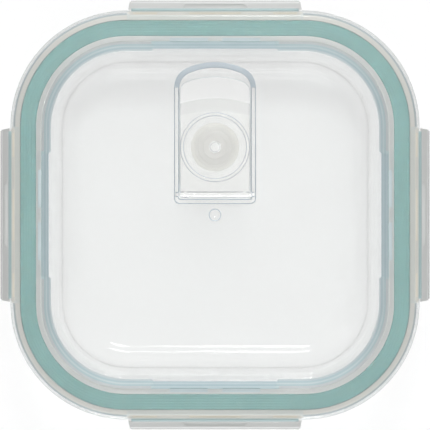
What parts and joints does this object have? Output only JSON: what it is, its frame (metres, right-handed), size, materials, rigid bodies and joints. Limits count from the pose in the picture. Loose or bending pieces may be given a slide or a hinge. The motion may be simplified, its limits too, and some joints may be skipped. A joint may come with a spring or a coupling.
{
  "type": "square glass food storage box with latching vented lid",
  "caption": "Square glass food box with a clear recessed lid, hinged side latches that hook under the glass rim, a teal seal ring and a flip-up steam vent.",
  "frame": {"origin": "centre of the foot, on the surface that the box stands on", "axes": "+Z up; +Y towards the back, where the vent flap's finger end is; +X to the right seen from above with +Y up"},
  "size_m": [0.1628, 0.1628, 0.0666],
  "materials": {
    "glass": "clear pressed glass",
    "lid_plastic": "clear, slightly milky moulded plastic",
    "latch_plastic": "milky moulded plastic, thin living hinges",
    "seal_silicone": "soft matt teal silicone",
    "valve_silicone": "milky translucent silicone"
  },
  "bodies": {
    "base": {"glass_base": "glass"},
    "lid": {"lid_shell": "lid_plastic", "lid_seal": "seal_silicone", "vent_valve": "valve_silicone", "hinge_film_right": "latch_plastic", "hinge_film_back": "latch_plastic", "hinge_film_left": "latch_plastic", "hinge_film_front": "latch_plastic"},
    "latch_right": {"latch_right": "latch_plastic", "latch_hook_right": "latch_plastic"},
    "latch_back": {"latch_back": "latch_plastic", "latch_hook_back": "latch_plastic"},
    "latch_left": {"latch_left": "latch_plastic", "latch_hook_left": "latch_plastic"},
    "latch_front": {"latch_front": "latch_plastic", "latch_hook_front": "latch_plastic"},
    "vent_flap": {"vent_flap": "lid_plastic"}
  },
  "joints": [
    {"name": "lid_lift", "type": "slide", "parent": "base", "child": "lid", "axis": [0, 0, 1], "range_m": [0, 0.08]},
    {"name": "latch_right_hinge", "type": "hinge", "parent": "lid", "child": "latch_right", "pos_m": [0.0769, 0, 0.06515], "axis": [0, -1, 0], "range_deg": [0, 110], "deforming": ["hinge_film_right", "latch_hook_right"]},
    {"name": "latch_back_hinge", "type": "hinge", "parent": "lid", "child": "latch_back", "pos_m": [0, 0.0769, 0.06515], "axis": [1, 0, 0], "range_deg": [0, 110], "deforming": ["hinge_film_back", "latch_hook_back"]},
    {"name": "latch_left_hinge", "type": "hinge", "parent": "lid", "child": "latch_left", "pos_m": [-0.0769, 0, 0.06515], "axis": [0, 1, 0], "range_deg": [0, 110], "deforming": ["hinge_film_left", "latch_hook_left"]},
    {"name": "latch_front_hinge", "type": "hinge", "parent": "lid", "child": "latch_front", "pos_m": [0, -0.0769, 0.06515], "axis": [-1, 0, 0], "range_deg": [0, 110], "deforming": ["hinge_film_front", "latch_hook_front"]},
    {"name": "vent_flap_hinge", "type": "hinge", "parent": "lid", "child": "vent_flap", "pos_m": [0, 0.0077, 0.0582], "axis": [1, 0, 0], "range_deg": [0, 105]}
  ]
}
